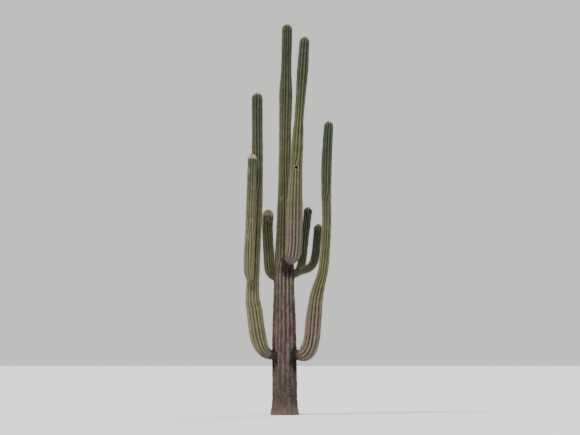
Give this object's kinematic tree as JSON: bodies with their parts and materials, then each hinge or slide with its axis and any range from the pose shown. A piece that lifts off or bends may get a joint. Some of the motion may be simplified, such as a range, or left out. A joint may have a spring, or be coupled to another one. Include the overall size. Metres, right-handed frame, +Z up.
{
  "type": "saguaro cactus",
  "caption": "Tall columnar desert cactus rooted in the ground, with a ribbed tapering trunk and ribbed arms that bend out and climb beside it.",
  "frame": {"origin": "centre of the flat cut under the trunk, at ground level", "axes": "+Z up, +X to the right and +Y away from a viewer who faces the side with the forward arm"},
  "size_m": [2.3791, 1.6771, 10.5003],
  "materials": {
    "trunk_skin": "matte",
    "arm_skin": "matte",
    "spines": "matte",
    "felt": "matte"
  },
  "bodies": {
    "root": {"trunk": "trunk_skin", "left_low_arm_elbow": "arm_skin", "left_low_arm_upright": "arm_skin", "left_low_branch_elbow": "arm_skin", "left_low_branch_upright": "arm_skin", "right_low_arm_elbow": "arm_skin", "right_low_arm_upright": "arm_skin", "front_high_arm_elbow": "arm_skin", "front_high_arm_upright": "arm_skin", "left_high_arm_elbow": "arm_skin", "left_high_arm_upright": "arm_skin", "right_high_arm_elbow": "arm_skin", "right_high_arm_upright": "arm_skin", "back_high_arm_elbow": "arm_skin", "back_high_arm_upright": "arm_skin"}
  },
  "joints": []
}
